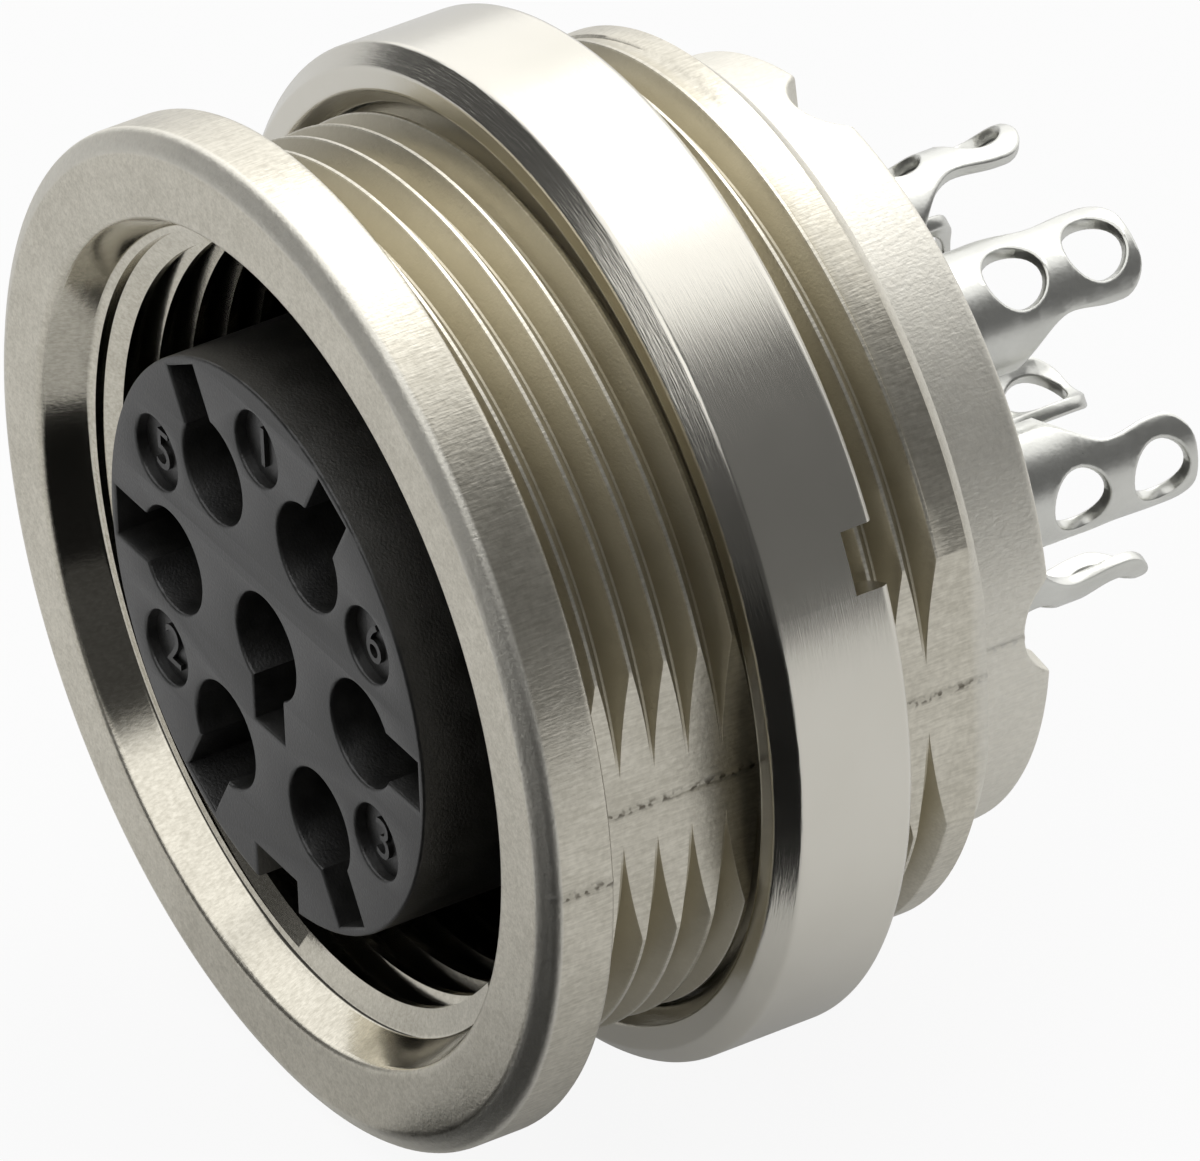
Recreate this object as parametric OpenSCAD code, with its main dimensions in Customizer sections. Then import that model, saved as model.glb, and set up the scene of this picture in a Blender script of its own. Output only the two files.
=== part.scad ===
// Panel-mount circular socket connector with a screw coupling.
// A die-cast shell with a front flange holds an insulating insert with seven socket contacts.
// A rear plate keeps the contacts in the insert, and a ring nut clamps the shell to its panel.
// The axis is Y: the mating face looks along -Y, the solder tags leave along +Y, the key is at -Z.
// The origin is on the axis, in the plane where the flange seats on the panel.

/* [Shell] */
// Thickness of the front flange
flange_t = 1.5; // [1.3:0.1:2.5]
// Radial width of the chamfer on the flange's front edge
flange_chamfer_w = 0.4; // [0.1:0.05:0.6]
// Axial depth of the chamfer on the flange's front edge
flange_chamfer_t = 0.25; // [0.1:0.05:0.5]
// Thickness of the barrel's wall between the coupling thread and the panel thread, crest to crest
barrel_wall = 1.4; // [1.25:0.05:1.8]
// Reach of the flange and the ring nut beyond the panel thread
rim_reach = 1.25; // [1:0.05:2.5]
// Length of the barrel behind the flange
barrel_len = 9.3; // [8.8:0.1:12]
// Chamfer on the barrel's rear edge
barrel_chamfer = 0.35; // [0.1:0.05:0.5]
// Depth of the barrel's two flats below the panel thread's crests
flat_depth = 0.525; // [0.25:0.025:0.65]
// Outer diameter of the rear skirt
skirt_d = 15.6; // [15.2:0.1:16.4]
// Length of the rear skirt behind the barrel
skirt_len = 1.9; // [1.5:0.1:3]
// Bore of the skirt, which takes the insert's flange and the rear plate
rear_bore_d = 14; // [13.4:0.1:14.6]

/* [Staking] */
// Number of staked notches round the skirt
notch_count = 4; // [2:1:6]
// Width of a notch at the skirt's rear edge
notch_w = 2.1; // [1.4:0.1:3]
// Depth of a notch along the axis
notch_depth = 0.6; // [0.3:0.05:0.9]
// Thickness of the metal pressed in over the rear plate
stake_t = 0.4; // [0.2:0.05:0.6]
// Width of the metal pressed in over the rear plate
stake_w = 1.3; // [0.8:0.1:2]
// Reach of the pressed metal inwards from the bore
stake_reach = 0.45; // [0.2:0.05:0.7]

/* [Coupling socket] */
// Diameter of the coupling thread over its crests
coupling_d = 15.2; // [14.6:0.1:15.6]
// Radial step from the coupling thread's crests to the plain mouth in front of them
mouth_step = 0.87; // [0.6:0.01:1.2]
// Depth of the plain mouth
mouth_depth = 1; // [0.5:0.05:1.5]
// Axial length of the cone between the plain mouth and the coupling thread
mouth_cone_len = 0.4; // [0.1:0.05:0.8]
// Depth of the socket behind the flange's front face
socket_depth = 7; // [5:0.1:8]
// Thickness of the ledge that stops the insert
ledge_t = 1.2; // [0.8:0.1:1.6]

/* [Ring nut] */
// Width of the ring nut along the axis
nut_w = 2.9; // [2:0.1:4]
// Distance from the panel seat to the ring nut
nut_gap = 3.7; // [0.5:0.1:5]
// Chamfer on the ring nut's front edge
nut_front_chamfer = 0.4; // [0.1:0.05:0.6]
// Chamfer on the ring nut's rear edge
nut_rear_chamfer = 0.15; // [0.05:0.05:0.4]
// Countersink at both ends of the ring nut's bore
nut_countersink = 0.35; // [0.1:0.05:0.5]
// Radial running clearance between the ring nut and the thread
nut_clear = 0.05; // [0.02:0.01:0.1]
// Number of spanner slots in the ring nut's rear face
nut_slots = 2; // [2:1:6]
// Width of a spanner slot
nut_slot_w = 1.25; // [0.8:0.05:2]
// Depth of a spanner slot along the axis
nut_slot_depth = 0.75; // [0.4:0.05:1.2]
// Turn of the ring nut's first slot from +X towards +Z, in degrees
nut_turn = 25; // [0:1:90]

/* [Insert] */
// Diameter of the insert's boss
insert_d = 11.6; // [11.4:0.1:12.4]
// Chamfer on the boss's front edge
insert_chamfer = 0.15; // [0.05:0.05:0.3]
// Clearance of the insert and the rear plate in the shell
insert_clear = 0.05; // [0.02:0.01:0.1]
// Diameter of the circle that the outer contacts stand on
pitch_d = 7; // [6.8:0.1:7.2]
// Diameter of a contact hole in the insert
hole_d = 2.2; // [2.1:0.05:2.4]
// Width of the slot beside a contact hole
slot_w = 1.1; // [0.8:0.05:1.3]
// Reach of an outer contact's slot from the hole's centre
slot_reach = 2.1; // [1.5:0.05:2.15]
// Reach of the middle contact's slot from the hole's centre
middle_slot_reach = 1.95; // [1.4:0.05:2]
// Diameter of the number wells between the contact holes
well_d = 1.55; // [1:0.05:1.8]
// Depth of the number wells
well_depth = 0.25; // [0.1:0.05:0.4]
// Diameter of the circle that the number wells stand on
well_pitch_d = 9; // [8.6:0.1:9.4]
// Width of the key groove
key_w = 1.5; // [1:0.1:2]
// Depth of the key groove from the boss's surface
key_depth = 0.8; // [0.4:0.1:1]

/* [Contacts] */
// Outer diameter of a contact's socket
socket_d = 2; // [1.9:0.05:2.05]
// Bore of a contact's socket
pin_d = 1.5; // [1.3:0.05:1.55]
// Distance of the sockets behind the mating face
socket_recess = 2; // [0.4:0.1:3]
// Thickness of a solder tag
tag_t = 0.35; // [0.25:0.05:0.4]
// Distance of a solder tag's middle plane from its contact's axis
tag_offset = 0.95; // [0.95:0.01:1]
// Width of the neck that joins a tag to its socket
neck_w = 1; // [0.6:0.05:1.05]
// Length of the neck inside the insert
neck_len = 3; // [1:0.1:5]
// Width of a tag at its base
tag_base_w = 2.45; // [2.2:0.05:2.6]
// Width of a tag at its tip
tag_tip_w = 1.9; // [1.7:0.05:2.1]
// Width of a tag between its two holes
tag_waist_w = 1.75; // [1.6:0.05:2]
// Radius of the tip's corners
tag_corner_r = 0.55; // [0.2:0.05:0.8]
// Length of a tag behind the rear plate
tag_len = 6.35; // [5:0.05:9]
// Diameter of the wire holes in a tag
wire_hole_d = 1.24; // [0.8:0.02:1.3]
// Distance from the tip to the first wire hole's centre
wire_hole_tip = 0.82; // [0.75:0.01:1.2]
// Distance between the two wire holes
wire_hole_pitch = 1.8; // [1.6:0.05:2.2]
// Clearance of a tag in the rear plate's slot
tag_clear = 0.05; // [0.02:0.01:0.1]

/* [Rear plate] */
// Thickness of the rear plate
plate_t = 1.4; // [0.8:0.1:2]

/* [Hidden] */
$fn = 96;
cut = 1;
ring_count = 6;
ring_step = 360 / ring_count;
key_angle = 270;
front_y = -flange_t;
barrel_d = coupling_d + 2 * barrel_wall;
flats_across = barrel_d - 2 * flat_depth;
mouth_d = coupling_d + 2 * mouth_step;
flange_d = barrel_d + 2 * rim_reach;
nut_d = flange_d;
skirt_end_y = barrel_len + skirt_len;
ledge_front_y = front_y + socket_depth;
ledge_rear_y = ledge_front_y + ledge_t;
ledge_d = insert_d + 2 * insert_clear;
plate_rear_y = skirt_end_y - notch_depth - stake_t;
plate_front_y = plate_rear_y - plate_t;
seat_d = rear_bore_d - 2 * insert_clear;
mouth_end_y = front_y + mouth_depth;
mouth_cone_y = mouth_end_y + mouth_cone_len;
notch_r = (pow(notch_w / 2, 2) + pow(notch_depth, 2)) / (2 * notch_depth);
socket_front_y = front_y + socket_recess;
tag_tip_y = plate_rear_y + tag_len;
tip_hole_y = tag_tip_y - wire_hole_tip;
base_hole_y = tip_hole_y - wire_hole_pitch;
waist_y = (tip_hole_y + base_hole_y) / 2;

// Turns a shape made along +Z so that it runs along +Y
module along_axis() {
    rotate([-90, 0, 0]) children();
}

// Turns a shape standing at +X about the axis, towards +Z
module turned(angle) {
    rotate([0, -angle, 0]) children();
}

// Repeats a shape standing at +X evenly round the axis
module round_axis(count, first = 0) {
    for (k = [0 : count - 1]) {
        turned(first + k * 360 / count) children();
    }
}

// Places a shape at each outer contact and at the middle one, whose slot points to the key
module at_contacts() {
    round_axis(ring_count) translate([pitch_d / 2, 0, 0]) children();
    turned(key_angle) children();
}

// A solid disc or boss on the axis between two places
module boss(d, from_y, to_y) {
    translate([0, from_y, 0]) along_axis() cylinder(d = d, h = to_y - from_y);
}

// Half section of the shell, as radius and place along the axis
module shell_section() {
    polygon([
        [mouth_d / 2, front_y],
        [flange_d / 2 - flange_chamfer_w, front_y],
        [flange_d / 2, front_y + flange_chamfer_t],
        [flange_d / 2, 0],
        [barrel_d / 2, 0],
        [barrel_d / 2, barrel_len - barrel_chamfer],
        [barrel_d / 2 - barrel_chamfer, barrel_len],
        [skirt_d / 2, barrel_len],
        [skirt_d / 2, skirt_end_y],
        [rear_bore_d / 2, skirt_end_y],
        [rear_bore_d / 2, ledge_rear_y],
        [ledge_d / 2, ledge_rear_y],
        [ledge_d / 2, ledge_front_y],
        [coupling_d / 2, ledge_front_y],
        [coupling_d / 2, mouth_cone_y],
        [mouth_d / 2, mouth_end_y]
    ]);
}

// The metal that one flat takes off the barrel
module flat_cut() {
    translate([flats_across / 2, 0, -barrel_d / 2]) cube([barrel_d / 2, barrel_len + cut, barrel_d]);
}

// A round-bottomed notch through the skirt's wall
module notch_cut() {
    translate([rear_bore_d / 2 - cut, skirt_end_y - notch_depth + notch_r, 0])
        rotate([0, 90, 0]) cylinder(r = notch_r, h = skirt_d / 2 - rear_bore_d / 2 + 2 * cut);
}

// Metal pressed in from a notch over the rear plate
module stake() {
    translate([rear_bore_d / 2 - stake_reach, plate_rear_y, -stake_w / 2])
        cube([stake_reach + (skirt_d - rear_bore_d) / 4, stake_t, stake_w]);
}

// Die-cast shell: flange, barrel with flats, coupling socket and staked rear skirt
module shell() {
    color("darkkhaki") {
        difference() {
            along_axis() rotate_extrude() shell_section();
            round_axis(2) flat_cut();
            round_axis(notch_count) notch_cut();
        }
        round_axis(notch_count) stake();
    }
}

// Half section of the ring nut, with a countersunk bore
module nut_section() {
    bore_r = barrel_d / 2 + nut_clear;
    polygon([
        [bore_r, nut_gap + nut_countersink],
        [bore_r + nut_countersink, nut_gap],
        [nut_d / 2 - nut_front_chamfer, nut_gap],
        [nut_d / 2, nut_gap + nut_front_chamfer],
        [nut_d / 2, nut_gap + nut_w - nut_rear_chamfer],
        [nut_d / 2 - nut_rear_chamfer, nut_gap + nut_w],
        [bore_r + nut_countersink, nut_gap + nut_w],
        [bore_r, nut_gap + nut_w - nut_countersink]
    ]);
}

// Turned ring nut with spanner slots across its rear face
module ring_nut() {
    color("silver") difference() {
        along_axis() rotate_extrude() nut_section();
        round_axis(nut_slots, nut_turn)
            translate([barrel_d / 4, nut_gap + nut_w - nut_slot_depth, -nut_slot_w / 2])
                cube([nut_d / 2, nut_slot_depth + cut, nut_slot_w]);
    }
}

// Half section of the insert: a boss in the socket and a flange behind the ledge
module insert_section() {
    polygon([
        [0, front_y],
        [insert_d / 2 - insert_chamfer, front_y],
        [insert_d / 2, front_y + insert_chamfer],
        [insert_d / 2, ledge_rear_y],
        [seat_d / 2, ledge_rear_y],
        [seat_d / 2, plate_front_y],
        [0, plate_front_y]
    ]);
}

// A contact hole with the slot beside it, right through the insert
module keyhole_cut(reach) {
    length = plate_front_y - front_y + 2 * cut;
    boss(hole_d, front_y - cut, plate_front_y + cut);
    translate([0, front_y - cut, -slot_w / 2]) cube([reach, length, slot_w]);
}

// Shallow round wells for the contact numbers, between the outer contact holes
module number_wells() {
    for (k = [0 : ring_count - 1]) {
        angle = (k + 0.5) * ring_step;
        if (angle != key_angle) {
            turned(angle) translate([well_pitch_d / 2, 0, 0]) boss(well_d, front_y - cut, front_y + well_depth);
        }
    }
}

// Groove along the boss that takes the plug's key
module key_cut() {
    turned(key_angle) translate([insert_d / 2 - key_depth, front_y - cut, -key_w / 2])
        cube([key_depth + cut, socket_depth + cut, key_w]);
}

// Moulded insert that carries the contacts
module insert() {
    color("dimgray") difference() {
        along_axis() rotate_extrude() insert_section();
        round_axis(ring_count) translate([pitch_d / 2, 0, 0]) keyhole_cut(slot_reach);
        turned(key_angle) keyhole_cut(middle_slot_reach);
        number_wells();
        key_cut();
    }
}

// Slot in the rear plate for one solder tag
module tag_slot() {
    translate([tag_offset - tag_t / 2 - tag_clear, plate_front_y - cut, -tag_base_w / 2 - tag_clear])
        cube([tag_t + 2 * tag_clear, plate_t + 2 * cut, tag_base_w + 2 * tag_clear]);
}

// Insulating plate behind the insert, held by the stakes
module rear_plate() {
    color("black") difference() {
        boss(seat_d, plate_front_y, plate_rear_y);
        at_contacts() tag_slot();
    }
}

// Flat outline of a solder tag, across and along the axis
module tag_outline() {
    half_tip = tag_tip_w / 2;
    difference() {
        union() {
            polygon([
                [-tag_base_w / 2, plate_front_y],
                [tag_base_w / 2, plate_front_y],
                [tag_base_w / 2, base_hole_y],
                [tag_waist_w / 2, waist_y],
                [half_tip, tip_hole_y],
                [half_tip, tag_tip_y - tag_corner_r],
                [half_tip - tag_corner_r, tag_tip_y],
                [tag_corner_r - half_tip, tag_tip_y],
                [-half_tip, tag_tip_y - tag_corner_r],
                [-half_tip, tip_hole_y],
                [-tag_waist_w / 2, waist_y],
                [-tag_base_w / 2, base_hole_y]
            ]);
            for (side = [-1, 1]) {
                translate([side * (half_tip - tag_corner_r), tag_tip_y - tag_corner_r]) circle(tag_corner_r);
            }
        }
        for (y = [base_hole_y, tip_hole_y]) {
            translate([0, y]) circle(d = wire_hole_d);
        }
    }
}

// One contact on its own axis: a socket, a neck and a solder tag on the +X side
module contact_form() {
    difference() {
        boss(socket_d, socket_front_y, plate_front_y);
        boss(pin_d, socket_front_y - cut, plate_front_y + cut);
    }
    translate([tag_offset - tag_t / 2, plate_front_y - neck_len, -neck_w / 2])
        cube([tag_t, neck_len + plate_t, neck_w]);
    translate([tag_offset - tag_t / 2, 0, 0]) rotate([0, 90, 0]) linear_extrude(tag_t) tag_outline();
}

// An outer contact, counted from +X towards +Z
module outer_contact(number) {
    color("gainsboro") turned((number - 1) * ring_step) translate([pitch_d / 2, 0, 0]) contact_form();
}

module contact_1() { outer_contact(1); }
module contact_2() { outer_contact(2); }
module contact_3() { outer_contact(3); }
module contact_4() { outer_contact(4); }
module contact_5() { outer_contact(5); }
module contact_6() { outer_contact(6); }

// The middle contact, with its tag towards the key
module contact_7() {
    color("gainsboro") turned(key_angle) contact_form();
}

shell();
ring_nut();
insert();
rear_plate();
contact_1();
contact_2();
contact_3();
contact_4();
contact_5();
contact_6();
contact_7();
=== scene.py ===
"""Looks of a panel-mount circular socket connector with a screw coupling.

The axis is Y, the mating face looks along -Y and the key is at -Z. Sizes below are in millimetres;
angles run from +X towards +Z. Every surface is worked out with numpy and then scaled to metres.
"""
from math import asin, ceil, cos, floor, pi, radians, sin

import bmesh
import bpy
import numpy as np
from mathutils import Matrix, Vector


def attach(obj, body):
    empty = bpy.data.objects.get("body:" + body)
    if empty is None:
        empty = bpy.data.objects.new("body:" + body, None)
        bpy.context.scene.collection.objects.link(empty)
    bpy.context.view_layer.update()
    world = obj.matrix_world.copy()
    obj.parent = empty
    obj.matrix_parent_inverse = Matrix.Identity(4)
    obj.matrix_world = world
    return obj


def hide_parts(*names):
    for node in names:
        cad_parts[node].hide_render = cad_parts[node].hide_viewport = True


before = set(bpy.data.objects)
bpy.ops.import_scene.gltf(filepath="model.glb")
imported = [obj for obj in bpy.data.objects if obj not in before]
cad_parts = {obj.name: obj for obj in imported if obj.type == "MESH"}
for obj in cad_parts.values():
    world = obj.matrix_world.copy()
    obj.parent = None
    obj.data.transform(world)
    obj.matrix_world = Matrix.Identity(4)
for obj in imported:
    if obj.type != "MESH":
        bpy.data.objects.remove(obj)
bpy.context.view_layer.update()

MM = 0.001

# How surfaces are made: the share of a side that a rounded corner may take, where the row behind it stands,
# and distances at which points count as one, as touching or as lying beside each other
CORNER_SHARE = 0.4
CORNER_BACKING = 1.25
WELD = 1e-4
WELD_DIGITS = 4
TOUCH = 0.01
NEAR = 0.02
BESIDE = 0.05

# Points along outlines and columns round pieces
BEVEL_STEPS = 2
INSERT_POINTS = 220
INSERT_COLUMNS = 128
KEYHOLE_POINTS = 56
WELL_POINTS = 41
NUMBER_STEPS = 6
TAG_POINTS = 60
TAG_CORNER_POINTS = 9
WIRE_HOLE_POINTS = 33
SOCKET_COLUMNS = 48

# Angles between faces past which an edge is shaded sharp
SHARP_ANGLE = 30
SHELL_SHARP_ANGLE = 40

# Columns round the shell: how many, and the angles on either side where they stand closer
SHELL_COLUMNS = 201
FLAT_SPAN = 22
FLAT_COLUMNS = 45
SEAM_SPAN = 1.2
SEAM_COLUMNS = 9
NOTCH_SPAN = 8
NOTCH_COLUMNS = 13

# Sizes of the shell
FRONT_Y = -1.5
FLANGE_R = 10.25
FLANGE_CHAMFER_W = 0.4
FLANGE_CHAMFER_T = 0.25
MOUTH_R = 8.53
MOUTH_BACK_R = 8.13
MOUTH_END_Y = -0.6
MOUTH_STEP_Y = -0.55
COUPLING_R = 7.6
COUPLING_DEPTH = 0.38
COUPLING_CREST = 0.1
COUPLING_ROOT = 0.13
COUPLING_OFFSET = -0.367
COUPLING_LEAD = 0.1
COUPLING_FADE_Y = 4.9
COUPLING_END_Y = 5.2
# Painted shade in the socket: where it begins and where it is full
SOCKET_SHADE_START_Y = 0.8
SOCKET_SHADE_END_Y = 3.4
LEDGE_R = 5.85
LEDGE_FRONT_Y = 5.5
LEDGE_REAR_Y = 6.7
BARREL_R = 9.0
BARREL_END_Y = 9.3
BARREL_CHAMFER = 0.35
THREAD_PITCH = 0.75
THREAD_DEPTH = 0.49
THREAD_CREST = 0.045
THREAD_ROOT = 0.035
THREAD_START_Y = 0.2
THREAD_FADE_Y = 8.1
THREAD_END_Y = 8.55
THREAD_OFFSET = -0.102
THREAD_LEAD = 0.25
THREAD_EDGE = 0.08
THREAD_EDGE_STAIN = 0.8
THREAD_STAIN_RISE = 6
FLAT_X = 8.475
SKIRT_R = 7.8
SKIRT_END_Y = 11.2
REAR_BORE_R = 7.0
NOTCH_COUNT = 4
NOTCH_W = 2.1
NOTCH_DEPTH = 0.6
STAKE_W = 1.3
STAKE_REACH = 0.45
STAKE_EDGE = 0.1
SEAM_RISE = 0.025
SEAM_W = 0.07
SEAM_STAIN_W = 0.09
SEAM_RIM_T = 0.2
SEAM_SKIRT_T = 0.3
PLATE_REAR_Y = 10.2
PLATE_FRONT_Y = 8.8
EDGE_R = 0.13
EDGE_SPAN = 0.1
MOUTH_STEP_R = 0.05
BARREL_EDGE_R = 0.1
SKIRT_ROOT_R = 0.08
SKIRT_EDGE_R = 0.16
BORE_EDGE_R = 0.1

# Sizes of the ring nut
NUT_BORE_R = 9.05
NUT_R = 10.25
NUT_FRONT_Y = 3.7
NUT_REAR_Y = 6.6
NUT_FRONT_CHAMFER = 0.4
NUT_REAR_CHAMFER = 0.15
NUT_COUNTERSINK = 0.35
NUT_SLOT_ANGLES = (25, 205)
NUT_SLOT_W = 1.25
NUT_SLOT_DEPTH = 0.75
NUT_SLOT_SHARES = (-1, -0.6, 0, 0.6, 1)
NUT_WALL_GAP = 0.03
NUT_COLUMNS = 150
NUT_EDGE_R = 0.06
NUT_FACE_EDGE_R = 0.05
NUT_SPLIT_Y = 5.2
NUT_SPLIT = 0.1

# Sizes of the insert and the contacts
INSERT_R = 5.8
INSERT_FLANGE_R = 6.95
HOLE_R = 1.1
SLOT_W = 1.1
SLOT_REACH = 2.1
MIDDLE_SLOT_REACH = 1.95
PITCH_R = 3.5
RING_ANGLES = (0, 60, 120, 180, 240, 300)
KEY_ANGLE = 270
KEY_W = 1.5
KEY_DEPTH = 0.8
WELL_R = 0.775
WELL_PITCH_R = 4.5
WELL_DEPTH = 0.25
WELL_FLOOR_T = 1.0
WELL_NUMBERS = {30: "6", 90: "1", 150: "5", 210: "2", 330: "3"}
NUMBER_HEIGHT = 1.25
NUMBER_RISE = 0.2
INSERT_BEVEL = 0.07
SOCKET_R = 1.0
PIN_R = 0.75
SOCKET_FRONT_Y = 0.5
SOCKET_LIP = 0.1
SOCKET_EDGE_R = 0.06
SOCKET_BORE_EDGE_R = 0.05
SOCKET_END_R = 0.03
SOCKET_SPLIT_FRONT = 1.0
SOCKET_SPLIT_REAR = 0.5
TAG_OFFSET = 0.95
TAG_T = 0.3
TAG_BASE_W = 2.45
TAG_WAIST_W = 1.75
TAG_TIP_W = 1.9
TAG_TIP_Y = 16.55
TAG_CORNER_R = 0.6
TAG_BEVEL = 0.06
TAG_ARCH_R = 1.22
TAG_ARCH_RUN = 1.6
TAG_TAPER_LEAD = 0.35
TAG_LINES_ACROSS = 13
TAG_LINES_ALONG = 5
WIRE_HOLE_R = 0.62
TIP_HOLE_Y = 15.73
BASE_HOLE_Y = 13.93
NECK_W = 1.0
NECK_START_Y = 5.8

# The view, fitted to the photograph: millimetres from the middle of the mating face
VIEW_AZIMUTH = 58.55
VIEW_ELEVATION = 37.296
VIEW_DISTANCE = 403.055
VIEW_TARGET = (-2.008, 8.650, -3.161)
VIEW_FOCAL_PX = 20940.94
IMAGE_WIDTH_PX = 1200
SENSOR_MM = 36.0
PART_CLOCKING = 3.5

# The sky: the ways to its bright side, soft box and rear, the cosines over which each fades in, its strengths
SKY_SIDE = (-0.55, 0.5, 0.67)
SKY_SIDE_EDGE = (0.5, 0.7)
SKY_BOX = (0.15, -0.5, 0.853)
SKY_BOX_EDGE = (0.82, 0.93)
SKY_BACK = (0, 1, 0)
SKY_BACK_EDGE = (-0.3, 0.3)
SKY_BRIGHT = 1.3
SKY_REAR = 0.14
SKY_FRONT = 0.06

# The rest of the stage: the floor's half width, grey and shares of plain white, the card of painted shade that
# only mirrors see, and the lamp
FLOOR_HALF_W = 3000.0
FLOOR_GREY = 0.65
FLOOR_CAMERA_WHITE = 0.92
FLOOR_MIRROR_WHITE = 0.2
CARD_LEFT = 2.5
CARD_REAR = -2.0
CARD_LIFT = 0.05
LAMP_PLACE = (-150, 160, 300)
LAMP_TARGET = (0, 6, 0)
LAMP_SIZE = 200
LAMP_POWER = 0.25

# Colours, as pairs that a pattern mixes or alone
NICKEL = (0.54, 0.51, 0.43, 1), (0.73, 0.695, 0.60, 1)
STAINED_NICKEL = (0.46, 0.42, 0.32, 1), (0.58, 0.54, 0.43, 1)
ROUGH_NICKEL = (0.92, 0.90, 0.83, 1)
BRIGHT_NICKEL = (0.70, 0.675, 0.60, 1), (0.78, 0.755, 0.685, 1)
SEAM_DIRT = (0.12, 0.105, 0.08, 1)
# Painted shade deep in the socket and in the rear bore
SOCKET_PAINTED_SHADE = (0.05, 0.045, 0.035, 1)
PLASTIC = (0.003, 0.003, 0.0025, 1), (0.014, 0.0135, 0.012, 1)
TIN = (0.62, 0.62, 0.58, 1), (0.78, 0.78, 0.74, 1)
# Painted shade: the black of the card that only mirrors see
SHADE_CARD_BLACK = (0.01, 0.01, 0.01, 1)


# Surfaces

def grid_faces(rows, cols, wrap_rows):
    """Quads of a grid whose columns close on themselves, and whose rows do if asked."""
    i = np.arange(rows if wrap_rows else rows - 1)[:, None]
    j = np.arange(cols)[None, :]
    below, beside = (i + 1) % rows, (j + 1) % cols
    corners = [i * cols + j, i * cols + beside, below * cols + beside, below * cols + j]
    return np.stack(np.broadcast_arrays(*corners), -1).reshape(-1, 4)


def ring_points(radius, place, angle):
    """Points at a radius and place along the axis: (r cos a, y, r sin a)."""
    return np.stack([radius * np.cos(angle), place, radius * np.sin(angle)], -1)


def outward(points, faces):
    """The faces, turned round if the volume that they enclose comes out negative."""
    a, b, c, d = (points[faces[:, k]] for k in range(4))
    volume = np.einsum("ij,ij->", a, np.cross(b, c)) + np.einsum("ij,ij->", a, np.cross(c, d))
    return faces if volume > 0 else faces[:, ::-1]


def revolved(radius, place, angle):
    """A closed section carried round the axis; the arrays are rows by columns."""
    radius, place, angle = np.broadcast_arrays(radius, place, angle)
    rows, cols = radius.shape
    points = ring_points(radius, place, angle).reshape(-1, 3)
    return points, outward(points, grid_faces(rows, cols, True)).tolist()


def filleted(corners, steps=4):
    """A line through (r, y, fillet) corners, each rounded by a parabola and backed by rows close to it."""
    corners = np.array(corners, float)
    line = [corners[0, :2]]
    for before, here, after in zip(corners[:-2], corners[1:-1], corners[2:]):
        into, out = before[:2] - here[:2], after[:2] - here[:2]
        reach = min(here[2], CORNER_SHARE * np.linalg.norm(into), CORNER_SHARE * np.linalg.norm(out))
        start = here[:2] + into / np.linalg.norm(into) * reach
        end = here[:2] + out / np.linalg.norm(out) * reach
        t = np.linspace(0, 1, steps + 1)[:, None]
        lead = here[:2] + into / np.linalg.norm(into) * reach * CORNER_BACKING
        tail = here[:2] + out / np.linalg.norm(out) * reach * CORNER_BACKING
        curve = (1 - t) ** 2 * start + 2 * t * (1 - t) * here[:2] + t ** 2 * end
        line += [lead, *curve, tail]
    line.append(corners[-1, :2])
    return np.array(line)


def smooth_step(x, low, high):
    """0 below low, 1 above high and a cubic between."""
    t = np.clip((x - low) / (high - low), 0, 1)
    return t * t * (3 - 2 * t)


def angle_from(angle, centre):
    """Signed angle from a centre, within half a turn."""
    return (angle - centre + pi) % (2 * pi) - pi


def joined(*surfaces):
    """Several surfaces as one list of points and one of faces."""
    points, faces, first = [], [], 0
    for surface_points, surface_faces in surfaces:
        points.append(surface_points)
        faces += [[first + k for k in face] for face in surface_faces]
        first += len(surface_points)
    return np.concatenate(points), faces


def plate_from(loops, thickness, bevel, cuts=()):
    """A flat plate from outlines in its plane, with holes, and rounded edges; it lies about height 0.

    Each cut is a direction and a distance along it, where a line of points lets the plate bend."""
    curve = bpy.data.curves.new("outline", "CURVE")
    curve.dimensions = "2D"
    curve.fill_mode = "BOTH"
    curve.extrude = thickness / 2 - bevel
    curve.bevel_depth = bevel
    curve.bevel_resolution = BEVEL_STEPS
    curve.offset = -bevel
    for loop in loops:
        spline = curve.splines.new("POLY")
        spline.points.add(len(loop) - 1)
        flat = np.zeros((len(loop), 4))
        flat[:, :2] = loop
        flat[:, 3] = 1
        spline.points.foreach_set("co", flat.ravel())
        spline.use_cyclic_u = True
    return mesh_arrays(bpy.data.objects.new("outline", curve), cuts)


def mesh_arrays(source, cuts=()):
    """Points and outward faces of a curve or text object, which is then removed."""
    bpy.context.scene.collection.objects.link(source)
    evaluated = source.evaluated_get(bpy.context.evaluated_depsgraph_get())
    mesh = bpy.data.meshes.new_from_object(evaluated)
    work = bmesh.new()
    work.from_mesh(mesh)
    bmesh.ops.remove_doubles(work, verts=work.verts, dist=WELD)
    bmesh.ops.recalc_face_normals(work, faces=work.faces)
    for direction, distance in cuts:
        whole = work.verts[:] + work.edges[:] + work.faces[:]
        bmesh.ops.bisect_plane(work, geom=whole, plane_co=Vector(direction) * distance, plane_no=direction)
    work.to_mesh(mesh)
    work.free()
    points = np.zeros(3 * len(mesh.vertices))
    mesh.vertices.foreach_get("co", points)
    faces = [list(face.vertices) for face in mesh.polygons]
    bpy.data.meshes.remove(mesh)
    bpy.data.objects.remove(source)
    return points.reshape(-1, 3), faces


def swapped(surface, middle_y):
    """A plate's plane laid across the axis: (x, y, z) goes to (x, middle + z, y), which turns faces round."""
    points, faces = surface
    moved = np.stack([points[:, 0], middle_y + points[:, 2], points[:, 1]], -1)
    return moved, [face[::-1] for face in faces]


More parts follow.
